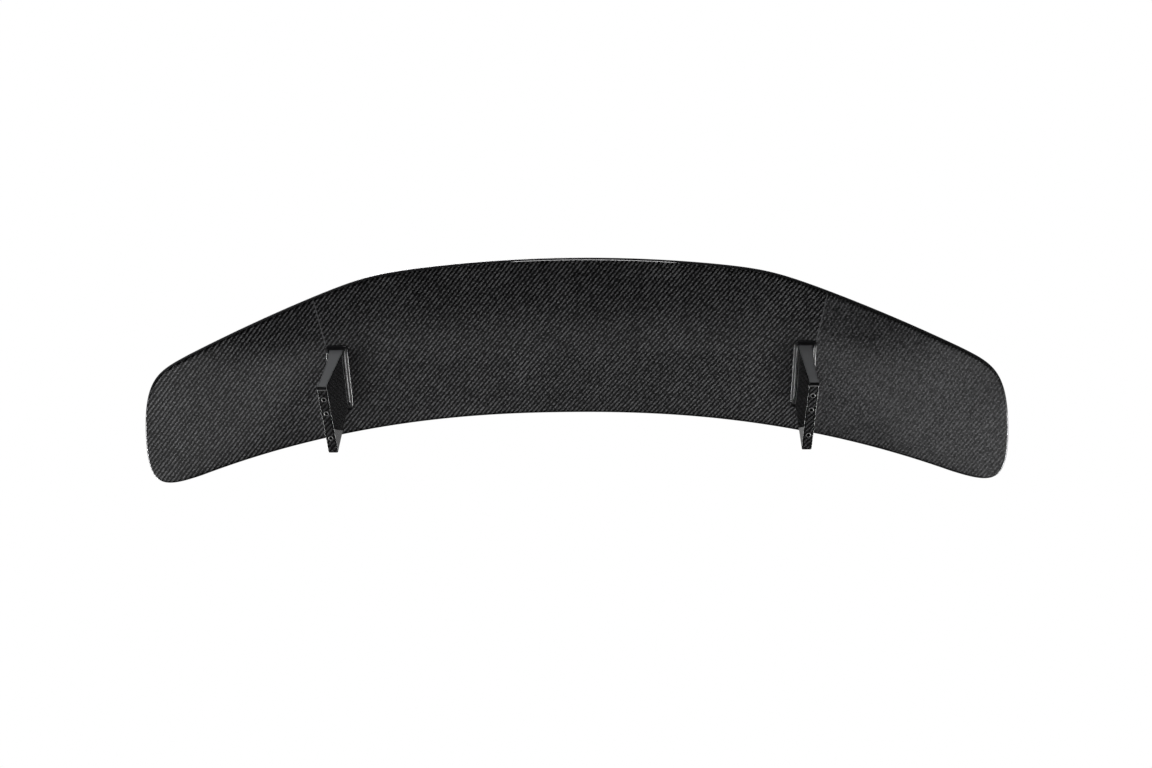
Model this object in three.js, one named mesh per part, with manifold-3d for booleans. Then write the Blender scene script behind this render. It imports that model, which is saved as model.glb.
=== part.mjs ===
// Racing rear wing on two fins.
// Millimetres: +X to the right, +Y forward to the leading edge, +Z up, the fins stand on z = 0.
import * as THREE from 'three';
import Module from 'manifold-3d';

// ---- plan shape of the wing ----
const HALF_SPAN = 650;
const FRONT_EDGE_Y = 70.3;        // leading edge on the centre line
const FRONT_SWEEP = 107.9;        // how far the leading edge has come forward at HALF_SPAN
const FRONT_SWEEP_POWER = 2.31;
const REAR_EDGE_Y = -164.2;       // trailing edge on the centre line
const REAR_ARCH = 1.875e-4;       // 1/mm, shallow arch along the whole trailing edge
const REAR_BEND_X = 303;          // the trailing edge bends forward here
const REAR_BEND_SLOPE = 0.222;
const REAR_BEND_SOFTNESS = 20;
const CORNER_START_X = 585;       // the tip corners leave the edge curves here
const TIP_X = 665;
const FRONT_CORNER = { pull: [641, 171], turn: [669, 176], end: 100 };
const REAR_CORNER = { pull: [635, -14], turn: [658, -6], end: 100 };

// ---- height and depth of the wing section ----
const FRONT_HEIGHT = 122;
const FRONT_DROOP = 54;
const REAR_HEIGHT = 178;
const REAR_DROOP = 74;
const EDGE_DEPTH = 4.5;           // from the joint line up to the top or down to the underside
const EDGE_ROUND = 5;
const CROWN = 4;                  // extra depth of the upper surface
const CROWN_POWER = 0.7;
const BELLY = 6.5;                // extra depth of the underside
const BELLY_POWER = 0.9;
const TIP_THINNING = 0.7;
const THINNING_START_X = 420;

// ---- wing laminate ----
const SKIN = 2;
const RIM = 6;                    // width of the bonding rim where the skins meet
const GAP = 0.3;                  // bond line between neighbouring pieces
const SEAM = { rear: [418.5, -260], knee: [373.5, -48.5], front: [365, 240] };

// ---- fins ----
const FIN_INNER_X = 341.2;        // inner face at the middle of the foot
const FIN_TOE = -0.03;            // the fins close toward the front
const FIN_MIDDLE_Y = 14.9;
const FIN_REAR_Y = -41.6;
const FIN_FOOT_FRONT_Y = 68.5;
const FIN_ROOT_FRONT_Y = 39;      // the front edge slopes back as it climbs
const FIN_LEAN = 1.2;             // the root stands this much further out than the foot
const FIN_THICKNESS = 14.4;
const FIN_FLARE = 9.6;            // extra thickness at the root, all on the outer face
const FIN_FLARE_POWER = 2.2;
const FIN_ROOT_Z = 126;
const FIN_SKIN = 1.5;
const FIN_CORNER = 1.2;
const CHIN_LENGTH = 5.5;
const CHIN_HEIGHT = 12;
const FIN_LEVELS = [0, 0.02, 0.06, 0.1, 0.35, 0.6, 0.8, 1];
const FIN_STATIONS = 9;
const SEAT_GAP = 0.4;             // between the fin or flange and the underside

// ---- root flanges ----
const FLANGE_MARGIN = 5;
const FLANGE_NOSE = 3.2;          // stretches the margin ahead of the fin
const FLANGE_HEIGHT = 4;
const FLANGE_ROUND = 2.6;
const FLANGE_FILLET = 2;          // concave, climbs the fin

// ---- hard points, studs and inserts ----
const BLOCK = { inner: 332, outer: 376, rear: -52, front: 72 };
const CORE_SPLIT_X = 354;
const STUD_RADIUS = 3;            // M6
const STUD_Y = { rear: -14, front: 26 };
const STUD_BELOW = 32;            // length inside the fin
const STUD_ABOVE = 11;            // length inside the hard point
const STUD_CLEARANCE = 0.3;
const INSERT_RADIUS = 3.6;
const INSERT_BORE = 2.5;          // M6 tapping size
const INSERT_LENGTH = 14;
const INSERT_SOCKET_DEPTH = 18;
const INSERT_FROM_REAR = { rear: 15.6, middle: 38.7, front: 80.2 };
const FOOT_REAR_Y = FIN_REAR_Y + CHIN_LENGTH;
const ROUND_SEGMENTS = 20;

// ---- grid over the wing plan ----
const HALF_COLUMNS = 18;
const COLUMNS = 2 * HALF_COLUMNS;
const ROWS = 9;
const EVEN_SHARE = 0.45;          // the rest of the spacing crowds toward the tips

const wasm = await Module();
wasm.setup();

// ---- materials ----
function material(color, roughness, metalness) {
  return new THREE.MeshStandardMaterial({ color, roughness, metalness });
}
const carbon = material(0x17181a, 0.22, 0);
const finCarbon = material(0x1b1c1f, 0.2, 0);
const foam = material(0xd9cc9a, 0.95, 0);
const alloy = material(0xa9acb1, 0.4, 1);
const steel = material(0x8d9094, 0.35, 1);
const insertMetal = material(0xb8bbbe, 0.3, 1);

// ---- solids ----
function solidFromFaces(points, faces) {
  let volume = 0;
  for (const [a, b, c] of faces) {
    volume += points[a].dot(new THREE.Vector3().crossVectors(points[b], points[c])) / 6;
  }
  const outward = volume > 0 ? faces : faces.map(([a, b, c]) => [a, c, b]);
  return new wasm.Manifold(new wasm.Mesh({
    numProp: 3,
    vertProperties: Float32Array.from(points.flatMap((p) => [p.x, p.y, p.z])),
    triVerts: Uint32Array.from(outward.flat()),
  }));
}

function solidFromGeometry(geometry) {
  const position = geometry.getAttribute('position');
  const order = geometry.index ? Array.from(geometry.index.array) : [...Array(position.count).keys()];
  const known = new Map();
  const points = [];
  const welded = order.map((i) => {
    const point = new THREE.Vector3().fromBufferAttribute(position, i);
    const key = point.toArray().map((v) => Math.round(v * 1e4)).join();
    if (!known.has(key)) {
      known.set(key, points.length);
      points.push(point);
    }
    return known.get(key);
  });
  const faces = [];
  for (let i = 0; i < welded.length; i += 3) {
    const face = welded.slice(i, i + 3);
    if (new Set(face).size === 3) faces.push(face);
  }
  return solidFromFaces(points, faces);
}

function geometryFromSolid(solid) {
  const mesh = solid.getMesh();
  const geometry = new THREE.BufferGeometry();
  const positions = new Float32Array(mesh.numVert * 3);
  for (let i = 0; i < mesh.numVert; i += 1) {
    for (let axis = 0; axis < 3; axis += 1) {
      positions[3 * i + axis] = mesh.vertProperties[mesh.numProp * i + axis];
    }
  }
  geometry.setAttribute('position', new THREE.BufferAttribute(positions, 3));
  geometry.setIndex(new THREE.BufferAttribute(new Uint32Array(mesh.triVerts), 1));
  geometry.computeVertexNormals();
  return geometry;
}

function prism(outline, low, high) {
  const shape = new THREE.Shape(outline.map(([x, y]) => new THREE.Vector2(x, y)));
  const geometry = new THREE.ExtrudeGeometry(shape, { depth: high - low, bevelEnabled: false });
  geometry.translate(0, 0, low);
  return solidFromGeometry(geometry);
}

function rod(x, y, low, high, radius) {
  const geometry = new THREE.CylinderGeometry(radius, radius, high - low, ROUND_SEGMENTS);
  geometry.rotateX(Math.PI / 2);
  geometry.translate(x, y, (low + high) / 2);
  return solidFromGeometry(geometry);
}

// Quads between two closed rings of the same count, given by their first point numbers.
function strip(first, second, count) {
  const faces = [];
  for (let k = 0; k < count; k += 1) {
    const next = (k + 1) % count;
    faces.push([first + k, first + next, second + next], [first + k, second + next, second + k]);
  }
  return faces;
}

// ---- wing surfaces ----
function frontEdge(x) {
  return FRONT_EDGE_Y + FRONT_SWEEP * (Math.abs(x) / HALF_SPAN) ** FRONT_SWEEP_POWER;
}

function rearEdge(x) {
  const out = Math.abs(x);
  const bend = REAR_BEND_SOFTNESS * Math.log(1 + Math.exp((out - REAR_BEND_X) / REAR_BEND_SOFTNESS));
  return REAR_EDGE_Y + REAR_ARCH * out * out + REAR_BEND_SLOPE * bend;
}

// 0 on the leading edge, 1 on the trailing edge
function chordFraction(x, y) {
  return THREE.MathUtils.clamp((frontEdge(x) - y) / (frontEdge(x) - rearEdge(x)), 0, 1);
}

function jointHeight(x, y) {
  const out = (x / HALF_SPAN) ** 2;
  const front = FRONT_HEIGHT - FRONT_DROOP * out;
  const rear = REAR_HEIGHT - REAR_DROOP * out;
  return THREE.MathUtils.lerp(front, rear, chordFraction(x, y));
}

function tipFade(x) {
  return 1 - TIP_THINNING * THREE.MathUtils.smoothstep(Math.abs(x), THINNING_START_X, TIP_X);
}

function depthAbove(x, y) {
  const s = chordFraction(x, y);
  return EDGE_DEPTH + CROWN * tipFade(x) * (1 - s) * Math.sin(Math.PI * s ** CROWN_POWER);
}

function depthBelow(x, y) {
  const s = chordFraction(x, y);
  return EDGE_DEPTH + BELLY * tipFade(x) * Math.sin(Math.PI * s ** BELLY_POWER);
}

function underside(x, y) {
  return jointHeight(x, y) - depthBelow(x, y);
}

// 0 on the outline, 1 from EDGE_ROUND inward
function edgeRise(inset) {
  const left = 1 - Math.min(inset / EDGE_ROUND, 1);
  return Math.sqrt(1 - left * left);
}

// ---- outline of the right half, as three runs of points ----
function cornerCurve(corner, edge) {
  return new THREE.CubicBezierCurve(
    new THREE.Vector2(CORNER_START_X, edge(CORNER_START_X)),
    new THREE.Vector2(...corner.pull),
    new THREE.Vector2(...corner.turn),
    new THREE.Vector2(TIP_X, corner.end),
  );
}

function runAlong(edge, corner) {
  const steps = 60;
  const points = [];
  for (let i = 0; i < steps; i += 1) {
    const x = CORNER_START_X * i / steps;
    points.push(new THREE.Vector2(x, edge(x)));
  }
  return points.concat(corner.getPoints(steps).slice(0, steps / 2 + 1));
}

function sideRun(front, rear) {
  const steps = 60;
  const fromFront = front.getPoints(steps).slice(steps / 2);
  const toRear = rear.getPoints(steps).slice(steps / 2).reverse();
  return fromFront.concat(toRear);
}

const frontCorner = cornerCurve(FRONT_CORNER, frontEdge);
const rearCorner = cornerCurve(REAR_CORNER, rearEdge);
const frontRun = runAlong(frontEdge, frontCorner);
const rearRun = runAlong(rearEdge, rearCorner);
const tipRun = sideRun(frontCorner, rearCorner);

// A point a given share of the way along a run, with the unit direction there.
function walk(run, share) {
  const lengths = [0];
  for (let i = 1; i < run.length; i += 1) {
    lengths.push(lengths[i - 1] + run[i].distanceTo(run[i - 1]));
  }
  const target = share * lengths.at(-1);
  let i = lengths.findIndex((length) => length >= target && length > 0);
  if (i < 1) i = run.length - 1;
  const part = (target - lengths[i - 1]) / (lengths[i] - lengths[i - 1]);
  const point = run[i - 1].clone().lerp(run[i], part);
  const ahead = run[Math.min(i + 1, run.length - 1)];
  const behind = run[Math.max(i - 2, 0)];
  return { point, direction: ahead.clone().sub(behind).normalize() };
}

function crowded(step) {
  return EVEN_SHARE * step + (1 - EVEN_SHARE) * Math.sin(Math.PI * step / 2);
}

// Column positions from -1 at the left tip to 1 at the right tip.
const columnShare = [...Array(COLUMNS + 1).keys()].map((i) => {
  const step = i / HALF_COLUMNS - 1;
  return Math.sign(step) * crowded(Math.abs(step));
});

// Inset is measured square to the outline. "turn" is 1 where the run keeps the wing on its right.
function insetPoint(run, share, turn, side, inset) {
  const { point, direction } = walk(run, share);
  const x = point.x + turn * direction.y * inset;
  const y = point.y - turn * direction.x * inset;
  return new THREE.Vector2(side * x, y);
}

// Rows 0 and ROWS follow the edges, columns 0 and COLUMNS follow the tips.
function edgePoint(i, j, inset) {
  if (i === 0 || i === COLUMNS) return insetPoint(tipRun, j / ROWS, 1, i === 0 ? -1 : 1, inset);
  const share = Math.abs(columnShare[i]);
  const side = columnShare[i] < 0 ? -1 : 1;
  return j === 0 ? insetPoint(frontRun, share, 1, side, inset) : insetPoint(rearRun, share, -1, side, inset);
}

// The grid inside an inset outline: each point blends the four edges around it.
function planGrid(inset) {
  const front = columnShare.map((_, i) => edgePoint(i, 0, inset));
  const rear = columnShare.map((_, i) => edgePoint(i, ROWS, inset));
  return columnShare.map((share, i) => [...Array(ROWS + 1).keys()].map((j) => {
    if (j === 0) return front[i];
    if (j === ROWS) return rear[i];
    if (i === 0 || i === COLUMNS) return edgePoint(i, j, inset);
    const u = (share + 1) / 2;
    const v = j / ROWS;
    const left = edgePoint(0, j, inset);
    const right = edgePoint(COLUMNS, j, inset);
    const along = front[i].clone().lerp(rear[i], v);
    const across = left.clone().lerp(right, u);
    const ends = front[0].clone().lerp(rear[0], v);
    ends.lerp(front[COLUMNS].clone().lerp(rear[COLUMNS], v), u);
    return along.add(across).sub(ends);
  }));
}

// Grid nodes around the outline, clockwise from the front left corner.
const rimNodes = [];
for (let i = 0; i <= COLUMNS; i += 1) rimNodes.push([i, 0]);
for (let j = 1; j <= ROWS; j += 1) rimNodes.push([COLUMNS, j]);
for (let i = COLUMNS - 1; i >= 0; i -= 1) rimNodes.push([i, ROWS]);
for (let j = ROWS - 1; j > 0; j -= 1) rimNodes.push([0, j]);

// A closed lens: an upper grid, rings out to the rim and back, and a lower grid.
// Each level has an inset and a height(x, y); the first and last carry the grids.
function lens(levels) {
  const points = [];
  const faces = [];
  const starts = [];
  for (const { inset, height } of levels) {
    starts.push(points.length);
    for (const [i, j] of rimNodes) {
      const { x, y } = edgePoint(i, j, inset);
      points.push(new THREE.Vector3(x, y, height(x, y)));
    }
  }
  for (let n = 1; n < starts.length; n += 1) {
    faces.push(...strip(starts[n - 1], starts[n], rimNodes.length));
  }
  const addGrid = (level, start, upward) => {
    const grid = planGrid(level.inset);
    const number = grid.map((column) => column.map(() => -1));
    rimNodes.forEach(([i, j], k) => {
      number[i][j] = start + k;
    });
    for (let i = 1; i < COLUMNS; i += 1) {
      for (let j = 1; j < ROWS; j += 1) {
        const { x, y } = grid[i][j];
        number[i][j] = points.length;
        points.push(new THREE.Vector3(x, y, level.height(x, y)));
      }
    }
    for (let i = 0; i < COLUMNS; i += 1) {
      for (let j = 0; j < ROWS; j += 1) {
        const a = number[i][j];
        const b = number[i + 1][j];
        const c = number[i + 1][j + 1];
        const d = number[i][j + 1];
        if (upward) faces.push([a, d, c], [a, c, b]);
        else faces.push([a, b, c], [a, c, d]);
      }
    }
  };
  addGrid(levels[0], starts[0], true);
  addGrid(levels.at(-1), starts.at(-1), false);
  return solidFromFaces(points, faces);
}

const roundInsets = [EDGE_ROUND, 0.4 * EDGE_ROUND, 0.1 * EDGE_ROUND, 0];

function upperSkin() {
  const outer = roundInsets.map((inset) => ({
    inset,
    height: (x, y) => jointHeight(x, y) + GAP / 2 + (depthAbove(x, y) - GAP / 2) * edgeRise(inset),
  }));
  const rim = { inset: RIM, height: (x, y) => jointHeight(x, y) + GAP / 2 };
  const inner = { inset: RIM, height: (x, y) => jointHeight(x, y) + depthAbove(x, y) - SKIN };
  return lens([...outer, rim, inner]);
}

function lowerSkin() {
  const outer = roundInsets.map((inset) => ({
    inset,
    height: (x, y) => jointHeight(x, y) - GAP / 2 - (depthBelow(x, y) - GAP / 2) * edgeRise(inset),
  }));
  const rim = { inset: RIM, height: (x, y) => jointHeight(x, y) - GAP / 2 };
  const inner = { inset: RIM, height: (x, y) => underside(x, y) + SKIN };
  return lens([inner, rim, ...outer.reverse()]);
}

function foamCore() {
  const inset = RIM + GAP;
  const above = (x, y) => jointHeight(x, y) + depthAbove(x, y) - SKIN - GAP;
  const below = (x, y) => underside(x, y) + SKIN + GAP;
  return lens([{ inset, height: above }, { inset, height: below }]);
}

// ---- fins ----
function finInner(y) {
  return FIN_INNER_X + FIN_TOE * (y - FIN_MIDDLE_Y);
}

function finThickness(level) {
  return FIN_THICKNESS + FIN_FLARE * level ** FIN_FLARE_POWER;
}

function finRear(level) {
  const below = Math.max(0, 1 - level * FIN_ROOT_Z / CHIN_HEIGHT);
  return FIN_REAR_Y + CHIN_LENGTH * (1 - Math.sqrt(1 - below * below));
}

function finFront(level) {
  return THREE.MathUtils.lerp(FIN_FOOT_FRONT_Y, FIN_ROOT_FRONT_Y, level);
}

// A closed plate between two faces, each given as a distance out from the fin's inner face.
// The cornered face draws in at the front and rear ends.
function finLayer(side, innerFace, outerFace) {
  const points = [];
  const faces = [];
  for (const level of FIN_LEVELS) {
    const rear = finRear(level);
    const front = finFront(level);
    const stations = [rear, rear + 2 * FIN_CORNER];
    for (let k = 1; k < FIN_STATIONS - 1; k += 1) {
      stations.push(THREE.MathUtils.lerp(rear, front, k / (FIN_STATIONS - 1)));
    }
    stations.push(front - 2 * FIN_CORNER, front);
    const isEnd = (k) => k === 0 || k === stations.length - 1;
    const place = (y, k, face) => {
      const height = level * (underside(finInner(y), y) - SEAT_GAP);
      const thickness = finThickness(height / FIN_ROOT_Z);
      const x = side * (finInner(y) + FIN_LEAN * level + face(thickness, isEnd(k)));
      points.push(new THREE.Vector3(x, y, level * (underside(x, y) - SEAT_GAP)));
    };
    stations.forEach((y, k) => place(y, k, outerFace));
    stations.map((y, k) => [y, k]).reverse().forEach(([y, k]) => place(y, k, innerFace));
  }
  const count = points.length / FIN_LEVELS.length;
  for (let n = 1; n < FIN_LEVELS.length; n += 1) {
    faces.push(...strip((n - 1) * count, n * count, count));
  }
  const top = points.length - count;
  for (let k = 0; k < count / 2 - 1; k += 1) {
    const [a, b, c, d] = [k, k + 1, count - 2 - k, count - 1 - k];
    faces.push([top + a, top + b, top + c], [top + a, top + c, top + d]);
    faces.push([a, c, b], [a, d, c]);
  }
  return solidFromFaces(points, faces);
}

function finCore(side) {
  const near = FIN_SKIN + GAP;
  return finLayer(side, () => near, (thickness) => thickness - near);
}

function finInnerSkin(side) {
  return finLayer(side, (_, end) => (end ? FIN_CORNER : 0), () => FIN_SKIN);
}

function finOuterSkin(side) {
  const outer = (thickness, end) => thickness - (end ? FIN_CORNER : 0);
  return finLayer(side, (thickness) => thickness - FIN_SKIN, outer);
}

// ---- flange around the fin root ----
// A rounded ring: the fin's root section grown by "margin", with the same count at any margin.
function rootRing(side, margin, height) {
  const width = finThickness(1);
  const rear = FIN_REAR_Y;
  const front = finFront(1 - height / FIN_ROOT_Z);
  const corners = [[width, rear, -90], [width, front, 0], [0, front, 90], [0, rear, 180]];
  const ring = [];
  corners.forEach(([out, y, angle], n) => {
    const reach = y === front ? margin * FLANGE_NOSE : margin;
    for (let k = 0; k <= 3; k += 1) {
      const turn = THREE.MathUtils.degToRad(angle + 30 * k);
      const px = finInner(y) + out + margin * Math.cos(turn);
      ring.push([px, y + reach * Math.sin(turn)]);
    }
    const [nextOut, nextY] = corners[(n + 1) % corners.length];
    if (nextY === y) return;
    const grow = margin * Math.cos(THREE.MathUtils.degToRad(angle + 90));
    for (let k = 1; k < FIN_STATIONS; k += 1) {
      const along = THREE.MathUtils.lerp(y, nextY, k / FIN_STATIONS);
      ring.push([finInner(along) + nextOut + grow, along]);
    }
  });
  return ring.map(([px, y]) => {
    const x = px + FIN_LEAN;
    return new THREE.Vector3(side * x, y, underside(x, y) - SEAT_GAP - height);
  });
}

function rootFlange(side) {
  const slope = 1 - Math.SQRT1_2;
  const tip = FLANGE_HEIGHT + FLANGE_FILLET;
  const rings = [
    rootRing(side, FLANGE_MARGIN, 0),
    rootRing(side, FLANGE_MARGIN, FLANGE_HEIGHT - FLANGE_ROUND),
    rootRing(side, FLANGE_MARGIN - FLANGE_ROUND * slope, FLANGE_HEIGHT - FLANGE_ROUND * slope),
    rootRing(side, FLANGE_MARGIN - FLANGE_ROUND, FLANGE_HEIGHT),
    rootRing(side, GAP + FLANGE_FILLET, FLANGE_HEIGHT),
    rootRing(side, GAP + FLANGE_FILLET * slope, FLANGE_HEIGHT + FLANGE_FILLET * slope),
    rootRing(side, GAP, tip),
    rootRing(side, GAP, 0),
  ];
  const count = rings[0].length;
  const faces = rings.flatMap((_, n) => strip(n * count, ((n + 1) % rings.length) * count, count));
  return solidFromFaces(rings.flat(), faces);
}

// ---- fasteners ----
// Studs and inserts share the line down the middle of the foot.
function footLine(y) {
  return finInner(y) + FIN_THICKNESS / 2;
}

function studSpan(side, y) {
  const seat = underside(footLine(y), y);
  return { x: side * footLine(y), low: seat - STUD_BELOW, high: seat + STUD_ABOVE };
}

function stud(side, y) {
  const { x, low, high } = studSpan(side, y);
  return rod(x, y, low, high, STUD_RADIUS);
}

function studHole(side, y) {
  const { x, low, high } = studSpan(side, y);
  return rod(x, y, low - STUD_CLEARANCE, high + STUD_CLEARANCE, STUD_RADIUS + STUD_CLEARANCE);
}

function insertPlace(side, fromRear) {
  const y = FOOT_REAR_Y + fromRear;
  return { x: side * footLine(y), y };
}

function threadedInsert(side, fromRear) {
  const { x, y } = insertPlace(side, fromRear);
  const body = rod(x, y, 0, INSERT_LENGTH, INSERT_RADIUS);
  return body.subtract(rod(x, y, -1, INSERT_LENGTH + 1, INSERT_BORE));
}

function insertSocket(side, fromRear) {
  const { x, y } = insertPlace(side, fromRear);
  return rod(x, y, -1, INSERT_SOCKET_DEPTH, INSERT_RADIUS + GAP);
}

// ---- assembly ----
const wing = new THREE.Group();

function add(name, solid, look) {
  const mesh = new THREE.Mesh(geometryFromSolid(solid), look);
  mesh.name = name;
  wing.add(mesh);
}

const REACH = 900;                // past every edge of the wing
const sides = [['left', -1], ['right', 1]];

// The part of the plan outside a seam, moved outward by half a bond line.
function outsideSeam(side) {
  const path = [SEAM.rear, SEAM.knee, SEAM.front].map(([x, y]) => [x + GAP / 2, y]);
  const outline = [...path, [REACH, SEAM.front[1]], [REACH, SEAM.rear[1]]];
  return prism(outline.map(([x, y]) => [side * x, y]), 0, REACH);
}

function betweenSeams() {
  const path = [SEAM.rear, SEAM.knee, SEAM.front].map(([x, y]) => [x - GAP / 2, y]);
  const mirrored = path.map(([x, y]) => [-x, y]).reverse();
  return prism([...path, ...mirrored], 0, REACH);
}

function slab(inner, outer) {
  return prism([[inner, -REACH], [outer, -REACH], [outer, REACH], [inner, REACH]], 0, REACH);
}

function blockBox(side, grow) {
  const [inner, outer] = [side * (BLOCK.inner - grow), side * (BLOCK.outer + grow)];
  const [rear, front] = [BLOCK.rear - grow, BLOCK.front + grow];
  return prism([[inner, rear], [outer, rear], [outer, front], [inner, front]], 0, REACH);
}

const studHoles = sides.flatMap(([, side]) => Object.values(STUD_Y).map((y) => studHole(side, y)));
const withoutStudHoles = (solid) => studHoles.reduce((rest, hole) => rest.subtract(hole), solid);

const lower = withoutStudHoles(lowerSkin());
const core = foamCore();
const blocks = withoutStudHoles(core);
const pockets = blockBox(-1, GAP).add(blockBox(1, GAP));
const foamOnly = core.subtract(pockets);
const halfGap = GAP / 2;

add('upper_skin', upperSkin(), carbon);
add('lower_skin_center', lower.intersect(betweenSeams()), carbon);
add('foam_core_center', foamOnly.intersect(slab(halfGap - CORE_SPLIT_X, CORE_SPLIT_X - halfGap)), foam);

for (const [name, side] of sides) {
  add(`lower_skin_${name}`, lower.intersect(outsideSeam(side)), carbon);
  add(`foam_core_${name}`, foamOnly.intersect(slab(side * (CORE_SPLIT_X + halfGap), side * REACH)), foam);
  add(`hard_point_${name}`, blocks.intersect(blockBox(side, 0)), alloy);
  const sockets = Object.values(INSERT_FROM_REAR).map((fromRear) => insertSocket(side, fromRear));
  const drilled = sockets.reduce((rest, socket) => rest.subtract(socket), withoutStudHoles(finCore(side)));
  add(`fin_core_${name}`, drilled, finCarbon);
  add(`fin_inner_skin_${name}`, finInnerSkin(side), finCarbon);
  add(`fin_outer_skin_${name}`, finOuterSkin(side), finCarbon);
  add(`root_flange_${name}`, rootFlange(side), finCarbon);
  for (const [place, y] of Object.entries(STUD_Y)) {
    add(`root_stud_${name}_${place}`, stud(side, y), steel);
  }
  for (const [place, fromRear] of Object.entries(INSERT_FROM_REAR)) {
    add(`foot_insert_${name}_${place}`, threadedInsert(side, fromRear), insertMetal);
  }
}

export default wing;
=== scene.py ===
"""Studio scene of the racing rear wing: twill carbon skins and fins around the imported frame."""
import math

import bmesh
import bpy
import numpy as np
from mathutils import Matrix, Vector

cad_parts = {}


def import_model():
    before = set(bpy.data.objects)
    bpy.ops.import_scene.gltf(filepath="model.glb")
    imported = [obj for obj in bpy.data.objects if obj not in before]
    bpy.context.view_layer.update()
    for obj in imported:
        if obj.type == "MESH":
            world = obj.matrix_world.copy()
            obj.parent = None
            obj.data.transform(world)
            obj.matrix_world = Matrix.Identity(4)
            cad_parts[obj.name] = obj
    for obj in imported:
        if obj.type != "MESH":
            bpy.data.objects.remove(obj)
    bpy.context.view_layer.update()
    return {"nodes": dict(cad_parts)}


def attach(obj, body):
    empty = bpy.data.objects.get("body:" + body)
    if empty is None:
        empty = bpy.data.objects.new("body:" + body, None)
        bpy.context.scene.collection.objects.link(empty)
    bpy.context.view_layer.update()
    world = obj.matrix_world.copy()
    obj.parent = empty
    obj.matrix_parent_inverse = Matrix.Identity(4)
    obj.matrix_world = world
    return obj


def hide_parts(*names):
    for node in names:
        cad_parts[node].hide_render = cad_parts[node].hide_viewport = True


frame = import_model()

# All lengths below are millimetres; MM turns them into Blender's metres.
MM = 0.001

# ---- wing plan ----
HALF_SPAN = 650
FRONT_EDGE_Y = 70.3
FRONT_SWEEP = 107.9
FRONT_SWEEP_POWER = 2.31
REAR_EDGE_Y = -164.2
REAR_ARCH = 1.875e-4
REAR_BEND_X = 303
REAR_BEND_SLOPE = 0.222
REAR_BEND_SOFTNESS = 20
CORNER_START_X = 585
TIP_X = 665
FRONT_CORNER = ((641, 171), (669, 176), 100)
REAR_CORNER = ((635, -14), (658, -6), 100)

# ---- wing section ----
FRONT_HEIGHT = 122
FRONT_DROOP = 54
REAR_HEIGHT = 178
REAR_DROOP = 74
EDGE_DEPTH = 4.5
EDGE_ROUND = 5
CROWN = 4
CROWN_POWER = 0.7
BELLY = 6.5
BELLY_POWER = 0.9
TIP_THINNING = 0.7
THINNING_START_X = 420
SKIN = 2
RIM = 6
RESIN_AND_SHADE_RIM = 2.5          # strip of bare resin along the outline, near black, which also paints the shade of the rounded outline
GAP = 0.3
SEAM_PATH = ((418.5, -260), (373.5, -48.5), (365, 240))

# ---- fins ----
FIN_INNER_X = 341.2
FIN_TOE = -0.03
FIN_MIDDLE_Y = 14.9
FIN_REAR_Y = -41.6
FIN_FOOT_FRONT_Y = 68.5
FIN_ROOT_FRONT_Y = 39
FIN_LEAN = 1.2
FIN_THICKNESS = 14.4
FIN_FLARE = 9.6
FIN_FLARE_POWER = 2.2
FIN_ROOT_Z = 126
FIN_SKIN = 1.5
FIN_REAR_ROUND = 0.8
FIN_FRONT_ROUND = 1.4
FIN_FRONT_REACH = 2.4   # the front corners are rounded over this much of the length
SOLE_ROUND = 1.0
CHIN_LENGTH = 5.5
CHIN_HEIGHT = 12
SEAT_GAP = 0.4
FLANGE_MARGIN = 5
FLANGE_NOSE = 3.2      # stretches the margin ahead of the fin
FLANGE_HEIGHT = 4
FLANGE_ROUND = 2.6
FLANGE_FILLET = 2
INSERT_RADIUS = 3.6
INSERT_BORE = 2.5
INSERT_LENGTH = 14
INSERT_SOCKET_DEPTH = 18
INSERT_FROM_REAR = {"rear": 15.6, "middle": 38.7, "front": 80.2}
THREAD_PITCH = 1.0
THREAD_DEPTH = 0.45
THREAD_MOUTH = 0.6     # height of the first crest above the sole
INSERT_CHAMFER = 0.4
SOCKET_CLEARANCE = GAP / 3

# ---- fineness of the visual meshes ----
HALF_COLUMNS = 96
COLUMNS = 2 * HALF_COLUMNS
ROWS = 30
EVEN_SHARE = 0.45
ROUND_STEPS = 8
SEAM_BLEND = 10        # columns over which the grid bends to follow a seam
FIN_STATIONS = 24
FIN_END_STEPS = 5
FIN_END_MARGIN = 3     # the even stations keep this far from the fin's two ends
SOLE_STEPS = 5
CHIN_STEPS = 10
CHIN_START = 1.2 * SOLE_ROUND      # the chin's heights begin above the rounding of the sole
SIDE_HEIGHTS = 24
FLANGE_STEPS = 6
FLANGE_CORNER_STEPS = 8
LATHE_STEPS = 40
SHARP_ANGLE = math.radians(35)
LATHE_SHARP_ANGLE = math.radians(50)

# ---- faces of the fins, told apart by their normals ----
END_NORMAL = 0.9       # least |y| of the upright ends
SOLE_NORMAL = 0.995    # least |z| of the sole
SOLE_EDGE_NORMAL = 0.15    # least |z| of the rounding round the sole

# ---- cloth ----
TOW = 1.88             # width of one tow of the 2x2 twill
TWILL_REPEAT = 4       # tows after which the pattern repeats
TWILL_FLOAT = 2        # tows that one tow passes over
TOW_ROUND = 0.85       # share of a half turn that the cross-section of a tow covers
TOW_ARCH = 0.5         # power of the arch along a tow
WEAVE_STRENGTH = 0.6
WEAVE_DEPTH = 0.12
# painted sheen: the warp tows are painted lighter than the weft tows, for the light that the two fibre
# directions catch; the right panel has its own pair
LIT_WARP_TONE = 0.11
SHADED_WEFT_TONE = 0.006
RIGHT_LIT_WARP_TONE = 0.09
RIGHT_SHADED_WEFT_TONE = 0.03
SEAM_TONE = 0.12
SEAM_HALF_WIDTH = 0.9
SEAM_OVERRUN = 2       # the line runs this far past the second point of the seam
CLOTH_TINT = (1, 1, 1.03)
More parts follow.
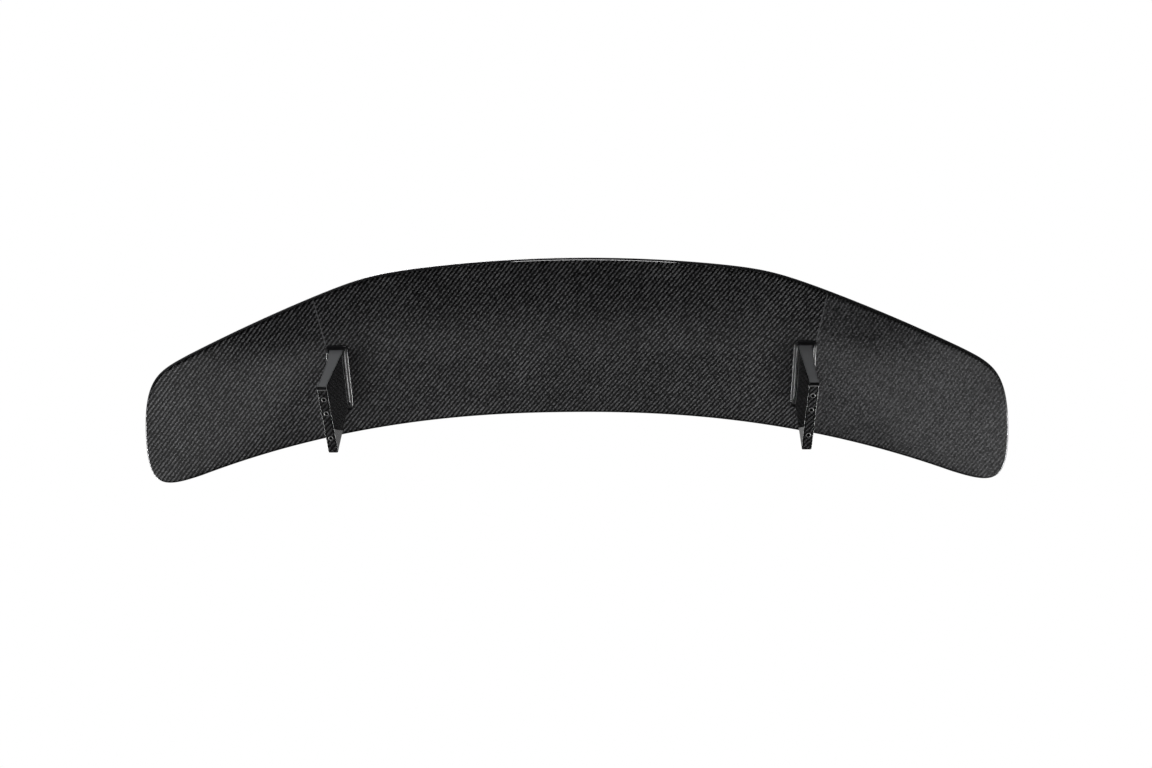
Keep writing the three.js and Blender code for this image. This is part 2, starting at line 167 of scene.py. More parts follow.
# painted shade: the twill of the soles and the fins is a darker copy of the same cloth
SOLE_PAINTED_SHADE = 0.8
FIN_PAINTED_SHADE = 0.55
UNDER_COAT = 0.2       # weak, so that the dark tows of the underside stay dark
FIN_COAT = 0.4
FIN_EDGE_TINT = 0.15
CENTRE_TWILL = math.radians(86.5)      # turn of the warp from +X in each panel
LEFT_TWILL = math.radians(86)
RIGHT_TWILL = math.radians(79.5)
FIN_TWILL = {"left": math.radians(77), "right": math.radians(13)}   # turn from +Y

# ---- patterns of the materials: a pair is (base, gain) and gives base + gain * pattern ----
TOW_DIP_PAINTED_SHADE = (0.4, 0.7)              # the tows' height: painted shade where the tows dip, lighter on their crowns
CLOUD_SHADE = (0.65, 0.7)              # wide clouds
CHANCE_SHADE = (0.3, 1.4)              # the random number of a crossing
FIBRE_ROUGHNESS = (0.32, 0.16)
GRAIN_SHADE = (0.85, 0.3)
FOAM_SHADE = (0.75, 0.5)
CLOUD_SCALE = 0.012
FIBRE_SCALE = 1.1
GRAIN_ROUGHNESS = 0.16                 # spread of the roughness about its middle
GRAIN_STRENGTH = 0.3
GRAIN_DEPTH = 0.02
RIPPLE_SCALE = 0.16
RIPPLE_STRENGTH = 0.06
RIPPLE_DEPTH = 0.05
FOAM_COLOUR = (0.72, 0.62, 0.38)
FOAM_SCALE = 1.6
FOAM_DEPTH = 0.2

# ---- camera ----
AIM = Vector((7.9, 36.1, 150)) * MM
CAMERA_DISTANCE = 1724 * MM
CAMERA_AZIMUTH = math.radians(-4.90)
CAMERA_LIFT = math.radians(62.19)      # the view line climbs: the camera is below and behind
CAMERA_ROLL = math.radians(3.82)
LENS = 34.29
SENSOR_WIDTH = 36
CAMERA_REACH = 50      # metres

# ---- studio: brightness of the room around the object ----
ROOM_ABOVE = 0.1
ROOM_FRONT = 0.75      # added above and ahead
ROOM_BELOW = 0.03
ROOM_BESIDE = 0.12
ROOM_SHEET = 2.2       # two white sheets, low at the left and the right
ROOM_BAND = 0.95       # the gap between them
ROOM_AHEAD = 0.55      # share of the brightness of the gap that is left farther ahead

# ---- studio: where each part of the room fades in, as x, y or z of the direction of view ----
BELOW_Z = (0.1, -0.3)
BESIDE_X = (0.45, 0.8)
FRONT_Y = (0.25, 0.4)
FRONT_Z = (0.4, 0.6)
LEFT_SHEET_X = ((-0.15, -0.22), (-0.44, -0.36))        # inner side, outer side
RIGHT_SHEET_X = ((0.06, 0.13), (0.44, 0.34))
SHEET_REAR_Y = (-0.14, -0.04)
BAND_REAR_Y = (-0.2, -0.04)
AHEAD_Y = (0.0, 0.03)
GLOW_FRONT_Y = (0.44, 0.3)                             # sheets and band end here
GLOW_Z = (-0.75, -0.82)                                # and lie below this

# ---- studio: floor and lights, in metres and watts ----
FLOOR_SIZE = 20        # half the width of the floor
FLOOR_CELLS = 8
FLOOR_COLOUR = (0.8, 0.8, 0.8, 1)
FLOOR_ROUGHNESS = 0.9
TOP_KEY = {"place": (-0.5, -0.7, 2.6), "target": (0, 0, 0.1), "size": (2.0, 1.0), "power": 60}
REAR_FILL = {"place": (-2.4, -2.0, 0.8), "target": (0, 0, 0.08), "size": (1.2, 1.2), "power": 23}
REAR_FILL_SPREAD = math.radians(80)
RIM_LIGHTS = {
    "rear_strip": {"place": (0, -2.2, -0.35), "target": (0, 0, 0.15), "size": (0.6, 0.15), "power": 10},
    "right_low": {"place": (2.0, 0.85, -0.2), "target": (0, 0, 0.05), "size": (1.2, 0.3), "power": 65},
    "left_low": {"place": (-2.0, 0.85, -0.2), "target": (0, 0, 0.05), "size": (1.2, 0.15), "power": 45},
}

SIDES = {"left": -1, "right": 1}


# ---------------------------------------------------------------- camera
def place_camera():
    az, lift, roll = CAMERA_AZIMUTH, CAMERA_LIFT, CAMERA_ROLL
    forward = Vector((math.sin(az) * math.cos(lift), math.cos(az) * math.cos(lift), math.sin(lift)))
    level = Vector((math.cos(az), -math.sin(az), 0))
    upright = level.cross(forward)
    right = level * math.cos(roll) + upright * math.sin(roll)
    up = upright * math.cos(roll) - level * math.sin(roll)
    data = bpy.data.cameras.new("camera")
    data.sensor_width = SENSOR_WIDTH
    data.lens = LENS
    data.clip_end = CAMERA_REACH
    camera = bpy.data.objects.new("camera", data)
    bpy.context.collection.objects.link(camera)
    turn = Matrix((right, up, -forward)).transposed()
    camera.matrix_world = Matrix.Translation(AIM - forward * CAMERA_DISTANCE) @ turn.to_4x4()
    bpy.context.scene.camera = camera


place_camera()


# ---------------------------------------------------------------- wing formulas
def front_edge(x):
    return FRONT_EDGE_Y + FRONT_SWEEP * (np.abs(x) / HALF_SPAN) ** FRONT_SWEEP_POWER


def rear_edge(x):
    out = np.abs(x)
    bend = REAR_BEND_SOFTNESS * np.log1p(np.exp((out - REAR_BEND_X) / REAR_BEND_SOFTNESS))
    return REAR_EDGE_Y + REAR_ARCH * out * out + REAR_BEND_SLOPE * bend


def chord_fraction(x, y):
    front = front_edge(x)
    return np.clip((front - y) / (front - rear_edge(x)), 0, 1)


def joint_height(x, y):
    out = (x / HALF_SPAN) ** 2
    front = FRONT_HEIGHT - FRONT_DROOP * out
    rear = REAR_HEIGHT - REAR_DROOP * out
    return front + (rear - front) * chord_fraction(x, y)


def tip_fade(x):
    t = np.clip((np.abs(x) - THINNING_START_X) / (TIP_X - THINNING_START_X), 0, 1)
    return 1 - TIP_THINNING * t * t * (3 - 2 * t)


def depth_above(x, y):
    s = chord_fraction(x, y)
    return EDGE_DEPTH + CROWN * tip_fade(x) * (1 - s) * np.sin(np.pi * s ** CROWN_POWER)


def depth_below(x, y):
    s = chord_fraction(x, y)
    return EDGE_DEPTH + BELLY * tip_fade(x) * np.sin(np.pi * s ** BELLY_POWER)


def underside(x, y):
    return joint_height(x, y) - depth_below(x, y)


def edge_rise(inset):
    left = 1 - min(inset / EDGE_ROUND, 1)
    return math.sqrt(1 - left * left)


def quarter_turn(steps):
    """Angles from 0 to 90 degrees."""
    return [math.pi / 2 * k / steps for k in range(steps + 1)]


def seam_x(y):
    xs, ys = zip(*SEAM_PATH)
    return np.interp(y, ys, xs)


# ---------------------------------------------------------------- plan grid
def corner_curve(corner, edge, steps=120):
    pull, turn, end = corner
    t = np.linspace(0, 1, steps + 1)[:, None]
    start = np.array([CORNER_START_X, edge(CORNER_START_X)])
    stops = (start, np.array(pull), np.array(turn), np.array([TIP_X, end]))
    weights = ((1 - t) ** 3, 3 * (1 - t) ** 2 * t, 3 * (1 - t) * t * t, t ** 3)
    return sum(weight * stop for weight, stop in zip(weights, stops))


def edge_run(edge, corner, steps=400):
    x = np.linspace(0, CORNER_START_X, steps, endpoint=False)
    half = len(corner) // 2
    return np.vstack([np.column_stack([x, edge(x)]), corner[:half + 1]])


FRONT_CURVE = corner_curve(FRONT_CORNER, front_edge)
REAR_CURVE = corner_curve(REAR_CORNER, rear_edge)
FRONT_RUN = edge_run(front_edge, FRONT_CURVE)
REAR_RUN = edge_run(rear_edge, REAR_CURVE)
TIP_RUN = np.vstack([FRONT_CURVE[len(FRONT_CURVE) // 2:], REAR_CURVE[len(REAR_CURVE) // 2:][::-1][1:]])


def run_shares(run):
    lengths = np.concatenate([[0], np.cumsum(np.linalg.norm(np.diff(run, axis=0), axis=1))])
    return lengths / lengths[-1]


def inset_points(run, shares, turn, side, inset):
    """Points at the given shares of a run, moved square to it by inset toward the wing."""
    known = run_shares(run)
    slopes = np.gradient(run, known, axis=0)
    slopes /= np.linalg.norm(slopes, axis=1)[:, None]
    x, y, dx, dy = (np.interp(shares, known, values) for values in (*run.T, *slopes.T))
    length = np.hypot(dx, dy)
    return np.column_stack([side * (x + turn * dy / length * inset), y - turn * dx / length * inset])


def column_shares():
    step = np.linspace(-1, 1, COLUMNS + 1)
    even = np.abs(step)
    return np.sign(step) * (EVEN_SHARE * even + (1 - EVEN_SHARE) * np.sin(np.pi * even / 2))


SHARES = column_shares()


def seam_share(run):
    """How far along an edge the seam meets it."""
    beyond = run[:, 0] - seam_x(run[:, 1])
    return float(np.interp(0, beyond, run_shares(run)))


SEAM_COLUMN = int(np.argmin(np.abs(SHARES - seam_share(FRONT_RUN))))
SEAM_COLUMNS = (COLUMNS - SEAM_COLUMN, SEAM_COLUMN)


def warped_shares(run):
    """Column shares moved so that one column starts where the seam meets this edge."""
    column = SHARES[SEAM_COLUMN]
    moved = np.interp(np.abs(SHARES), [0, column, 1], [0, seam_share(run), 1])
    return np.sign(SHARES) * moved


def plan_grid(inset):
    """Points of the wing plan inside an inset outline, as [column, row, xy]."""
    grid = np.zeros((COLUMNS + 1, ROWS + 1, 2))
    right = SHARES >= 0
    for row, run, turn in ((0, FRONT_RUN, 1), (ROWS, REAR_RUN, -1)):
        shares = np.abs(warped_shares(run))
        for side, mask in ((1, right), (-1, ~right)):
            grid[mask, row] = inset_points(run, shares[mask], turn, side, inset)
    rows = np.linspace(0, 1, ROWS + 1)
    for column, side in ((0, -1), (COLUMNS, 1)):
        grid[column] = inset_points(TIP_RUN, rows, 1, side, inset)
    u = ((SHARES + 1) / 2)[:, None, None]
    v = rows[None, :, None]
    front, rear = grid[:, :1], grid[:, -1:]
    left_end, right_end = grid[:1], grid[-1:]
    along = front * (1 - v) + rear * v
    across = left_end * (1 - u) + right_end * u
    ends = (front[:1] * (1 - v) + rear[:1] * v) * (1 - u) + (front[-1:] * (1 - v) + rear[-1:] * v) * u
    inner = along + across - ends
    grid[1:-1, 1:-1] = inner[1:-1, 1:-1]
    follow_seams(grid)
    return grid


def follow_seams(grid):
    for column, side in zip(SEAM_COLUMNS, (-1, 1)):
        shift = side * seam_x(grid[column, 1:-1, 1]) - grid[column, 1:-1, 0]
        for step in range(-SEAM_BLEND, SEAM_BLEND + 1):
            grid[column + step, 1:-1, 0] += shift * (1 - abs(step) / SEAM_BLEND)


def rim_nodes():
    nodes = [(i, 0) for i in range(COLUMNS + 1)]
    nodes += [(COLUMNS, j) for j in range(1, ROWS + 1)]
    nodes += [(i, ROWS) for i in range(COLUMNS - 1, -1, -1)]
    nodes += [(0, j) for j in range(ROWS - 1, 0, -1)]
    return nodes


RIM_NODES = rim_nodes()


# ---------------------------------------------------------------- mesh helpers
def finish_mesh(name, bm, sharp=SHARP_ANGLE):
    bmesh.ops.recalc_face_normals(bm, faces=bm.faces)
    mesh = bpy.data.meshes.new(name)
    bm.to_mesh(mesh)
    bm.free()
    mesh.shade_smooth()
    mesh.set_sharp_from_angle(angle=sharp)
    piece = bpy.data.objects.new(name, mesh)
    bpy.context.collection.objects.link(piece)
    return piece


def lens(name, levels, first=0, last=COLUMNS):
    """A closed lens between columns first and last. Each level is (inset, height function);
    the first and the last level carry the upper and the lower grid. The outermost strip
    of the rim takes the second material."""
    bm = bmesh.new()
    rings = []
    grids = []
    for inset, height in levels:
        grid = plan_grid(inset)
        for column, side in ((first, 1), (last, -1)):
            if 0 < column < COLUMNS:
                grid[column, :, 0] += side * GAP / 2
        x, y = grid[..., 0], grid[..., 1]
        heights = height(x, y)
        grids.append((x, y, heights))
        rings.append([
            bm.verts.new((x[n] * MM, y[n] * MM, heights[n] * MM)) if first <= n[0] <= last else None
            for n in RIM_NODES
        ])
    count = len(RIM_NODES)
    for level, (upper, lower) in enumerate(zip(rings, rings[1:])):
        # the outline strip takes near-black resin, partly painted shade of the dark outline
        in_shade_rim = max(levels[level][0], levels[level + 1][0]) < RESIN_AND_SHADE_RIM
        for k in range(count):
            corners = (upper[k], upper[(k + 1) % count], lower[(k + 1) % count], lower[k])
            if None not in corners:
                bm.faces.new(corners).material_index = int(in_shade_rim)
    for ring, (x, y, heights) in ((rings[0], grids[0]), (rings[-1], grids[-1])):
        node = {n: vert for n, vert in zip(RIM_NODES, ring) if vert}
        for i in range(first, last + 1):
            for j in range(ROWS + 1):
                if (i, j) not in node:
                    node[i, j] = bm.verts.new((x[i, j] * MM, y[i, j] * MM, heights[i, j] * MM))
        for i in range(first, last):
            for j in range(ROWS):
                bm.faces.new((node[i, j], node[i, j + 1], node[i + 1, j + 1], node[i + 1, j]))
    open_edges = [edge for edge in bm.edges if edge.is_boundary]
    if open_edges:
        bmesh.ops.holes_fill(bm, edges=open_edges, sides=0)
        walls = [face for face in bm.faces if len(face.verts) > 4]
        bmesh.ops.triangulate(bm, faces=walls)
    return finish_mesh(name, bm)


def upper_levels():
    """From the outer face over the rounded rim to the joint, then in and up to the inner face."""
    def outer(inset):
        rise = edge_rise(inset)
        return lambda x, y: joint_height(x, y) + GAP / 2 + (depth_above(x, y) - GAP / 2) * rise

    levels = [(inset, outer(inset)) for inset in rim_insets()]
    levels.append((RIM, lambda x, y: joint_height(x, y) + GAP / 2))
    levels.append((RIM, lambda x, y: joint_height(x, y) + depth_above(x, y) - SKIN))
    return levels


def lower_levels():
    """From the inner face down to the joint, then out over the rounded rim to the outer face."""
    def outer(inset):
        rise = edge_rise(inset)
        return lambda x, y: joint_height(x, y) - GAP / 2 - (depth_below(x, y) - GAP / 2) * rise

    levels = [(RIM, lambda x, y: underside(x, y) + SKIN), (RIM, lambda x, y: joint_height(x, y) - GAP / 2)]
    levels += [(inset, outer(inset)) for inset in reversed(rim_insets())]
    return levels


def rim_insets():
    """Insets of the rounded rim from its inner end out to the outline."""
    return [EDGE_ROUND * (1 - math.cos(angle)) for angle in reversed(quarter_turn(ROUND_STEPS))]


# ---------------------------------------------------------------- fins
def fin_inner(y):
    return FIN_INNER_X + FIN_TOE * (y - FIN_MIDDLE_Y)


def fin_thickness(height):
    return FIN_THICKNESS + FIN_FLARE * max(height, 0) ** FIN_FLARE_POWER / FIN_ROOT_Z ** FIN_FLARE_POWER


def fin_rear(height):
    below = max(0, 1 - height / CHIN_HEIGHT)
    return FIN_REAR_Y + CHIN_LENGTH * (1 - math.sqrt(1 - below * below))


def fin_front(height):
    level = height / FIN_ROOT_Z
    return FIN_FOOT_FRONT_Y + (FIN_ROOT_FRONT_Y - FIN_FOOT_FRONT_Y) * level


def rounding(distance, radius):
    """How far a rounded edge has drawn in at a distance from the corner."""
    left = max(0, 1 - distance / radius)
    return radius * (1 - math.sqrt(1 - left * left))


def fin_heights():
    sole = [SOLE_ROUND * (1 - math.cos(angle)) for angle in quarter_turn(SOLE_STEPS)]
    chin = [CHIN_HEIGHT * (1 - math.cos(angle)) for angle in quarter_turn(CHIN_STEPS)]
    chin = [height for height in chin if height > CHIN_START]
    side = list(np.linspace(CHIN_HEIGHT, FIN_ROOT_Z, SIDE_HEIGHTS))[1:]
    return sole + chin + side


def fin_stations(rear, front):
    ends = [1 - math.cos(angle) for angle in quarter_turn(FIN_END_STEPS)]
    behind = [rear + FIN_REAR_ROUND * share for share in ends]
    middle = list(np.linspace(rear + FIN_END_MARGIN, front - FIN_END_MARGIN, FIN_STATIONS))
    ahead = [front - FIN_FRONT_REACH * share for share in ends[::-1]]
    return behind + middle + ahead


def fin_layer(name, side, inner_face, outer_face):
    """A closed plate between two faces, each a distance out from the fin's inner face.
    A face function gets the fin's thickness and how far the rounded edges draw in."""
    bm = bmesh.new()
    rings = []
    for height in fin_heights():
        level = height / FIN_ROOT_Z
        sole = rounding(height, SOLE_ROUND)
        rear = fin_rear(height) + sole
        front = fin_front(height) - sole
        ring = []
        stations = fin_stations(rear, front)
        for face, order in ((outer_face, stations), (inner_face, stations[::-1])):
            for y in order:
                here = level * (underside(fin_inner(y), y) - SEAT_GAP)
                corner = FIN_FRONT_ROUND / FIN_FRONT_REACH * rounding(front - y, FIN_FRONT_REACH)
                edge = rounding(y - rear, FIN_REAR_ROUND) + corner
                draw = min(edge + sole, FIN_FRONT_ROUND)
                x = side * (fin_inner(y) + FIN_LEAN * level + face(fin_thickness(here), draw))
                z = level * (underside(x, y) - SEAT_GAP)
                ring.append(bm.verts.new((x * MM, y * MM, z * MM)))
        rings.append(ring)
    count = len(rings[0])
    for low, high in zip(rings, rings[1:]):
        for k in range(count):
            bm.faces.new((low[k], low[(k + 1) % count], high[(k + 1) % count], high[k]))
    for ring in (rings[0], rings[-1]):
        for k in range(count // 2 - 1):
            bm.faces.new((ring[k], ring[k + 1], ring[count - 2 - k], ring[count - 1 - k]))
    return finish_mesh(name, bm)


def fin_core(name, side):
    near = FIN_SKIN + GAP
    return fin_layer(name, side, lambda t, draw: near, lambda t, draw: t - near)


def fin_inner_skin(name, side):
    return fin_layer(name, side, lambda t, draw: draw, lambda t, draw: FIN_SKIN)


def fin_outer_skin(name, side):
    return fin_layer(name, side, lambda t, draw: t - FIN_SKIN, lambda t, draw: t - draw)


def root_ring(side, margin, height):
    width = fin_thickness(FIN_ROOT_Z)
    rear = FIN_REAR_Y
    front = fin_front(FIN_ROOT_Z - height)
    corners = [(width, rear, -90), (width, front, 0), (0, front, 90), (0, rear, 180)]
    ring = []
    for n, (out, y, angle) in enumerate(corners):
        reach = margin * FLANGE_NOSE if y == front else margin
        for k in range(FLANGE_CORNER_STEPS + 1):
            turn = math.radians(angle + 90 * k / FLANGE_CORNER_STEPS)
            ring.append((fin_inner(y) + out + margin * math.cos(turn), y + reach * math.sin(turn)))
        next_out, next_y, _ = corners[(n + 1) % 4]
        if next_y != y:
            grow = margin * round(math.cos(math.radians(angle + 90)))
            for k in range(1, FIN_STATIONS):
                along = y + (next_y - y) * k / FIN_STATIONS
                ring.append((fin_inner(along) + next_out + grow, along))
    ring = [(x + FIN_LEAN, y) for x, y in ring]
    return [(side * x, y, underside(x, y) - SEAT_GAP - height) for x, y in ring]


def root_flange(name, side):
    quarter = quarter_turn(FLANGE_STEPS)
    profile = [(FLANGE_MARGIN, 0), (FLANGE_MARGIN, 0.5 * (FLANGE_HEIGHT - FLANGE_ROUND))]
    profile += [
        (FLANGE_MARGIN - FLANGE_ROUND * (1 - math.cos(a)), FLANGE_HEIGHT - FLANGE_ROUND * (1 - math.sin(a)))
        for a in quarter
    ]
    profile += [
        (GAP + FLANGE_FILLET * (1 - math.sin(a)), FLANGE_HEIGHT + FLANGE_FILLET * (1 - math.cos(a)))
        for a in quarter
    ]
    profile.append((GAP, 0))
    bm = bmesh.new()
    rings = [[bm.verts.new(np.array(p) * MM) for p in root_ring(side, m, h)] for m, h in profile]
    count = len(rings[0])
    for ring, other in zip(rings, rings[1:] + rings[:1]):
        for k in range(count):
            bm.faces.new((ring[k], ring[(k + 1) % count], other[(k + 1) % count], other[k]))
    return finish_mesh(name, bm)


# ---------------------------------------------------------------- inserts
def foot_line(y):
    return fin_inner(y) + FIN_THICKNESS / 2


def insert_place(side, from_rear):
    y = FIN_REAR_Y + CHIN_LENGTH + from_rear
    return side * foot_line(y), y


def lathe(name, place, profile):
    """A closed profile of (radius, height) turned about a vertical axis."""
    bm = bmesh.new()
    x, y = place
    rings = []
    for radius, z in profile:
        turns = [2 * math.pi * k / LATHE_STEPS for k in range(LATHE_STEPS)]
        rings.append([
            bm.verts.new(((x + radius * math.cos(a)) * MM, (y + radius * math.sin(a)) * MM, z * MM))
            for a in turns
        ])
    for ring, other in zip(rings, rings[1:] + rings[:1]):
        for k in range(LATHE_STEPS):
            bm.faces.new((ring[k], ring[(k + 1) % LATHE_STEPS], other[(k + 1) % LATHE_STEPS], other[k]))
    return finish_mesh(name, bm, sharp=LATHE_SHARP_ANGLE)


def threaded_insert(name, side, from_rear):
    c = INSERT_CHAMFER
    outside = [(INSERT_RADIUS - c, 0), (INSERT_RADIUS, c)]
    outside += [(INSERT_RADIUS, INSERT_LENGTH - c), (INSERT_RADIUS - c, INSERT_LENGTH)]
    crest = INSERT_BORE
    root = INSERT_BORE + THREAD_DEPTH
    turns = int(INSERT_LENGTH / THREAD_PITCH) - 1
    inside = [(root, INSERT_LENGTH)]
    for k in range(turns, 0, -1):
        inside += [(crest, k + 0.5 * THREAD_PITCH), (root, k * THREAD_PITCH)]
    inside += [(crest, THREAD_MOUTH), (root, 0)]
    piece = lathe(name, insert_place(side, from_rear), outside + inside)
    x, y = insert_place(side, from_rear)
    # painted shade: the faces inside the bore take the near-black second material
    for face in piece.data.polygons:
        reach = math.hypot(face.center.x / MM - x, face.center.y / MM - y)
        face.material_index = int(reach < root)
    return piece


def drill(piece, side):
    """Cuts the sockets of the inserts from a fin core."""
    for from_rear in INSERT_FROM_REAR.values():
        x, y = insert_place(side, from_rear)
        bpy.ops.mesh.primitive_cylinder_add(
            vertices=LATHE_STEPS, radius=(INSERT_RADIUS + SOCKET_CLEARANCE) * MM,
            depth=2 * INSERT_SOCKET_DEPTH * MM, location=(x * MM, y * MM, 0))
        cutter = bpy.context.object
        cut = piece.modifiers.new("socket", "BOOLEAN")
        cut.operation = "DIFFERENCE"
        cut.solver = "EXACT"
        cut.object = cutter
        bpy.context.view_layer.objects.active = piece
        bpy.ops.object.modifier_apply(modifier=cut.name)
        bpy.data.objects.remove(cutter)
    piece.data.set_sharp_from_angle(angle=SHARP_ANGLE)


# ---------------------------------------------------------------- materials
class Graph:
    """Small helper that strings shader nodes together."""

    def __init__(self, owner):
        owner.use_nodes = True
        self.owner = owner
        self.tree = owner.node_tree
        self.shader = self.tree.nodes.get("Principled BSDF")

    def node(self, kind, **settings):
        made = self.tree.nodes.new(kind)
        for key, value in settings.items():
            setattr(made, key, value)
        return made

    def link(self, source, target):
        self.tree.links.new(source, target)

    def math(self, operation, *values):
        made = self.node("ShaderNodeMath", operation=operation)
        for socket, value in zip(made.inputs, values):
            if isinstance(value, (int, float)):
                socket.default_value = value
            else:
                self.link(value, socket)
        return made.outputs[0]

    def mix(self, factor, low, high):
        """Blends two numbers or sockets."""
        return self.math("ADD", low, self.math("MULTIPLY", factor, self.math("SUBTRACT", high, low)))

    def step(self, value, low, high):
        """0 below low, 1 above high, smooth between."""
        made = self.node("ShaderNodeMapRange", interpolation_type="SMOOTHSTEP")
        made.inputs["From Min"].default_value = low
        made.inputs["From Max"].default_value = high
        self.link(value, made.inputs["Value"])
        return made.outputs["Result"]

    def lift(self, value, base, gain):
        """base + gain * value."""
        return self.math("ADD", base, self.math("MULTIPLY", value, gain))

    def tint(self, tone, colour):
        """A colour socket with tone times each of the three values."""
        parts = self.node("ShaderNodeCombineColor")
        for socket, value in zip(parts.inputs, colour):
            self.link(self.math("MULTIPLY", tone, value), socket)
        return parts.outputs[0]

    def bump(self, height, strength, depth):
        """A normal socket for a relief, with its depth in millimetres."""
        made = self.node("ShaderNodeBump")
        made.inputs["Strength"].default_value = strength
        made.inputs["Distance"].default_value = depth * MM
        self.link(height, made.inputs["Height"])
        return made.outputs[0]

    def noise(self, vector, scale, detail=2.0):
        made = self.node("ShaderNodeTexNoise")
        made.inputs["Scale"].default_value = scale
        made.inputs["Detail"].default_value = detail
        self.link(vector, made.inputs["Vector"])
        return made.outputs["Fac"]

    def position(self):
        """Object coordinates in millimetres, as x, y, z sockets and as a vector."""
        coords = self.node("ShaderNodeTexCoord").outputs["Object"]
        scale = self.node("ShaderNodeVectorMath", operation="SCALE")
        self.link(coords, scale.inputs[0])
        scale.inputs["Scale"].default_value = 1 / MM
        split = self.node("ShaderNodeSeparateXYZ")
        self.link(scale.outputs[0], split.inputs[0])
        return (*split.outputs, scale.outputs[0])


def twill(graph, a, b, angle):
    """2x2 twill over two coordinates in millimetres. Returns (1 where the warp is on top, height,
    a random number for each crossing, or for each two of them where the weft is on top)."""
    cos, sin = math.cos(angle) / TOW, math.sin(angle) / TOW
    m = graph.math
    u = m("ADD", m("MULTIPLY", a, cos), m("MULTIPLY", b, sin))
    v = m("SUBTRACT", m("MULTIPLY", b, cos), m("MULTIPLY", a, sin))
    i, j = m("FLOOR", u), m("FLOOR", v)
    warp = m("LESS_THAN", m("FLOORED_MODULO", m("SUBTRACT", i, j), TWILL_REPEAT), TWILL_FLOAT)
    across_warp = m("SUBTRACT", m("FRACT", u), 0.5)
    across_weft = m("SUBTRACT", m("FRACT", v), 0.5)
    warp_place = m("ADD", m("SUBTRACT", v, i), 1)
    weft_place = m("SUBTRACT", m("SUBTRACT", u, j), TWILL_FLOAT)
    along_warp = m("DIVIDE", m("FLOORED_MODULO", warp_place, TWILL_REPEAT), TWILL_FLOAT)
    along_weft = m("DIVIDE", m("FLOORED_MODULO", weft_place, TWILL_REPEAT), TWILL_FLOAT)
    across = graph.mix(warp, across_weft, across_warp)
    along = graph.mix(warp, along_weft, along_warp)
    crown = m("COSINE", m("MULTIPLY", across, TOW_ROUND * math.pi))
    arch = m("POWER", m("MAXIMUM", m("SINE", m("MULTIPLY", along, math.pi)), 0.001), TOW_ARCH)
    cell = graph.node("ShaderNodeCombineXYZ")
    weft_pair = m("FLOOR", m("DIVIDE", m("ADD", u, 1), TWILL_FLOAT))
    graph.link(graph.mix(warp, weft_pair, i), cell.inputs["X"])
    graph.link(j, cell.inputs["Y"])
    chance = graph.node("ShaderNodeTexWhiteNoise", noise_dimensions="2D")
    graph.link(cell.outputs[0], chance.inputs["Vector"])
    return warp, m("MULTIPLY", crown, arch), chance.outputs["Value"]


def carbon(name, plane, angle, seams=False, shade=1.0, tones=(SHADED_WEFT_TONE, LIT_WARP_TONE), coat=UNDER_COAT,
           edge_tint=1.0):
    """Clear-coated twill. plane picks the two object axes that the cloth lies along, shade darkens it
    as painted shade, tones are the brightness of the weft and the warp, whose difference is a painted
    sheen of the two fibre directions, edge_tint that of its glancing shine."""
    graph = Graph(bpy.data.materials.new(name))
    m = graph.math
    x, y, z, vector = graph.position()
    a, b = {"xy": (x, y), "yz": (y, z)}[plane]
    warp, height, chance = twill(graph, a, b, angle)
    clouds = graph.noise(vector, CLOUD_SCALE)
    fibres = graph.noise(vector, FIBRE_SCALE, 3)
    # painted sheen: the warp tows get the lighter tone, the weft tows the darker one
    tone = graph.mix(warp, *tones)
    # painted shade where the tows dip under each other, lighter on their crowns
    tone = m("MULTIPLY", tone, graph.lift(height, *TOW_DIP_PAINTED_SHADE))
    # shade is painted shade on the fins and soles; the clouds are random tone
    tone = m("MULTIPLY", tone, m("MULTIPLY", shade, graph.lift(clouds, *CLOUD_SHADE)))
    tone = m("MULTIPLY", tone, graph.lift(chance, *CHANCE_SHADE))
    if seams:
        tone = seam_resin(graph, tone, x, y)
    shader = graph.shader
    graph.link(graph.tint(tone, CLOTH_TINT), shader.inputs["Base Color"])
    graph.link(graph.bump(height, WEAVE_STRENGTH, WEAVE_DEPTH), shader.inputs["Normal"])
    graph.link(graph.lift(fibres, *FIBRE_ROUGHNESS), shader.inputs["Roughness"])
    graph.link(tow_direction(graph, warp, plane, angle), shader.inputs["Tangent"])
    shader.inputs["Metallic"].default_value = 1.0
    shader.inputs["Specular Tint"].default_value = (edge_tint, edge_tint, edge_tint, 1)
    shader.inputs["Anisotropic"].default_value = 0.4
    shader.inputs["Coat Weight"].default_value = coat
    shader.inputs["Coat Roughness"].default_value = 0.03
    shader.inputs["Coat IOR"].default_value = 1.5
    coat_ripple(graph, vector)
    return graph.owner


def coat_ripple(graph, vector):
    """Gives the clear coat its own surface: smooth, with long faint waves."""
    waves = graph.noise(vector, RIPPLE_SCALE, 1)
    graph.link(graph.bump(waves, RIPPLE_STRENGTH, RIPPLE_DEPTH), graph.shader.inputs["Coat Normal"])


def tow_direction(graph, warp, plane, angle):
    """The direction across the fibres of the upper tow, along which they scatter light widely."""
    cos, sin = math.cos(angle), math.sin(angle)
    weft_way, warp_way = (-sin, cos), (cos, sin)
    pick = graph.node("ShaderNodeMix", data_type="VECTOR")
    graph.link(warp, pick.inputs["Factor"])
    for socket, way in (("A", weft_way), ("B", warp_way)):
        vector = (way[0], way[1], 0) if plane == "xy" else (0, way[0], way[1])
        [s for s in pick.inputs if s.name == socket and s.type == "VECTOR"][0].default_value = vector
    return [s for s in pick.outputs if s.type == "VECTOR"][0]


